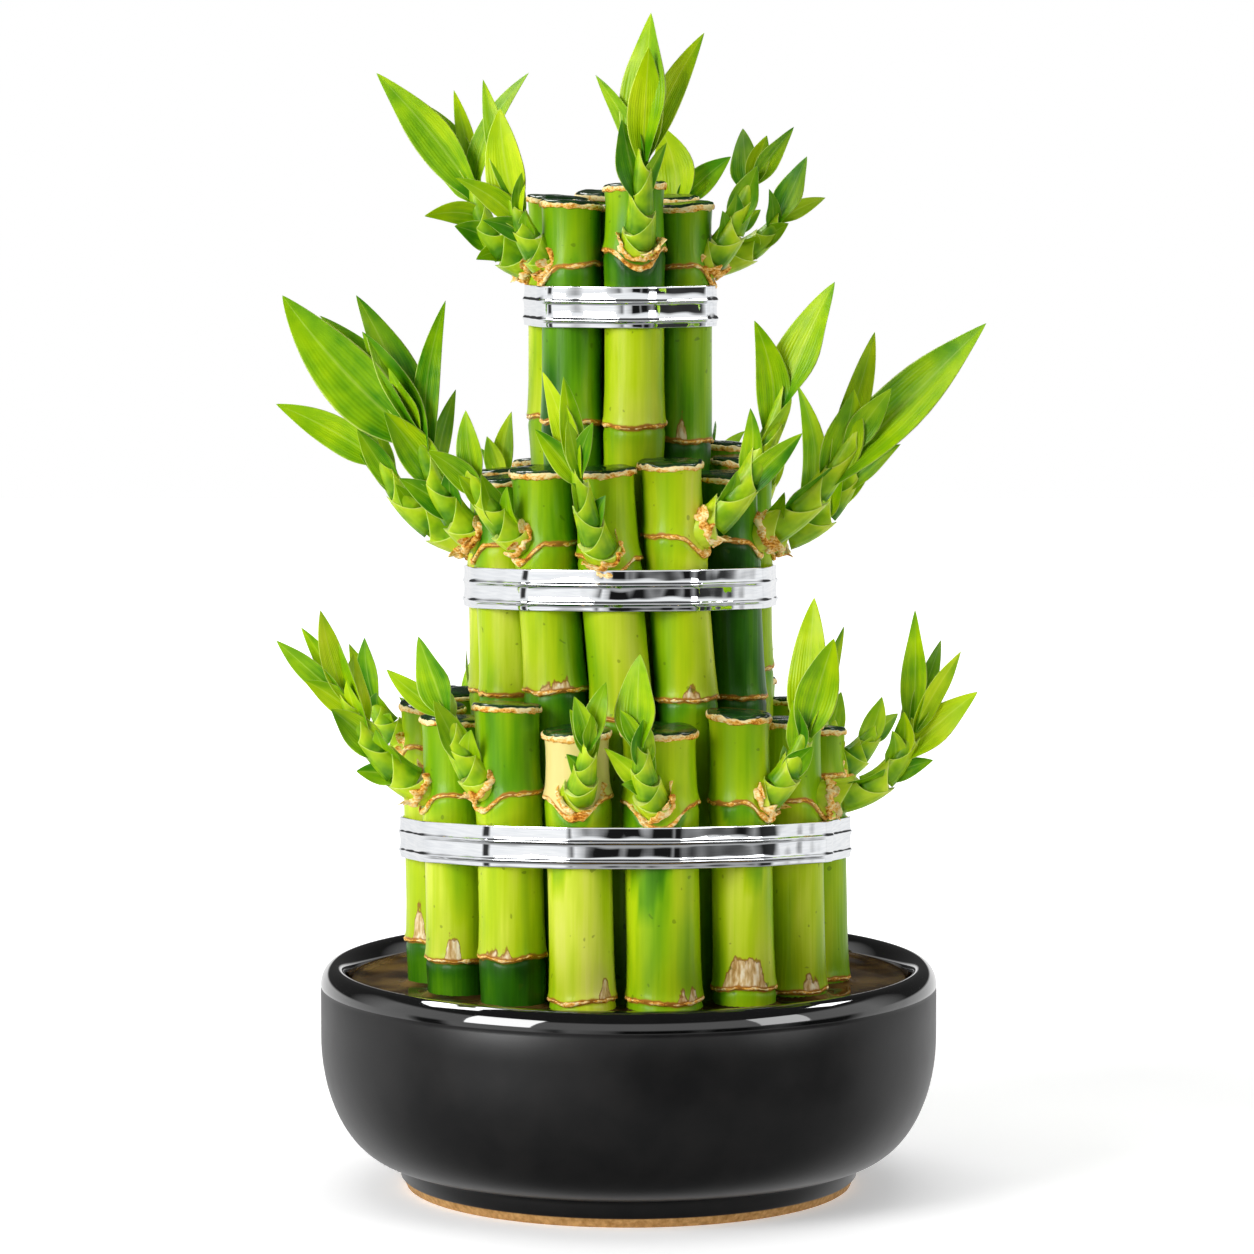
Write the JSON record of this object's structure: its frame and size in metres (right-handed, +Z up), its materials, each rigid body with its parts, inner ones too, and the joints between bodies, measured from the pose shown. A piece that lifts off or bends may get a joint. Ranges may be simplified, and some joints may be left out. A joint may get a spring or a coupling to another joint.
{
  "type": "lucky bamboo in a bowl",
  "caption": "Three-tier tower of lucky bamboo canes with leafy shoots, bound by beaded metal bands, standing in a round black bowl of water.",
  "frame": {"origin": "middle of the bowl's foot, on the surface it stands on", "axes": "+Z up along the bowl's axis, -Y the front seen in the picture, +X to the right in it"},
  "size_m": [0.1706, 0.15, 0.2835],
  "materials": {
    "black_glaze": "black glaze, satin body with a glossy rim; buff unglazed foot edge",
    "water": "still water over a dark bowl, mirror-like",
    "band_metal": "polished pressed strip with two beads",
    "plant": "living bamboo-like cane and leaves, glossy yellow-green to deep green"
  },
  "bodies": {
    "root": {"bowl": "black_glaze", "water": "water", "upper_band": "band_metal", "middle_band": "band_metal", "lower_band": "band_metal", "centre_cane_1": "plant", "inner_cane_1": "plant", "inner_cane_2": "plant", "inner_cane_3": "plant", "inner_cane_4": "plant", "inner_cane_5": "plant", "inner_cane_6": "plant", "middle_cane_1": "plant", "middle_cane_2": "plant", "middle_cane_3": "plant", "middle_cane_4": "plant", "middle_cane_5": "plant", "middle_cane_6": "plant", "middle_cane_7": "plant", "middle_cane_8": "plant", "middle_cane_9": "plant", "middle_cane_10": "plant", "middle_cane_11": "plant", "outer_cane_1": "plant", "outer_cane_2": "plant", "outer_cane_3": "plant", "outer_cane_4": "plant", "outer_cane_5": "plant", "outer_cane_6": "plant", "outer_cane_7": "plant", "outer_cane_8": "plant", "outer_cane_9": "plant", "outer_cane_10": "plant", "outer_cane_11": "plant", "outer_cane_12": "plant", "outer_cane_13": "plant", "outer_cane_14": "plant"}
  },
  "joints": []
}
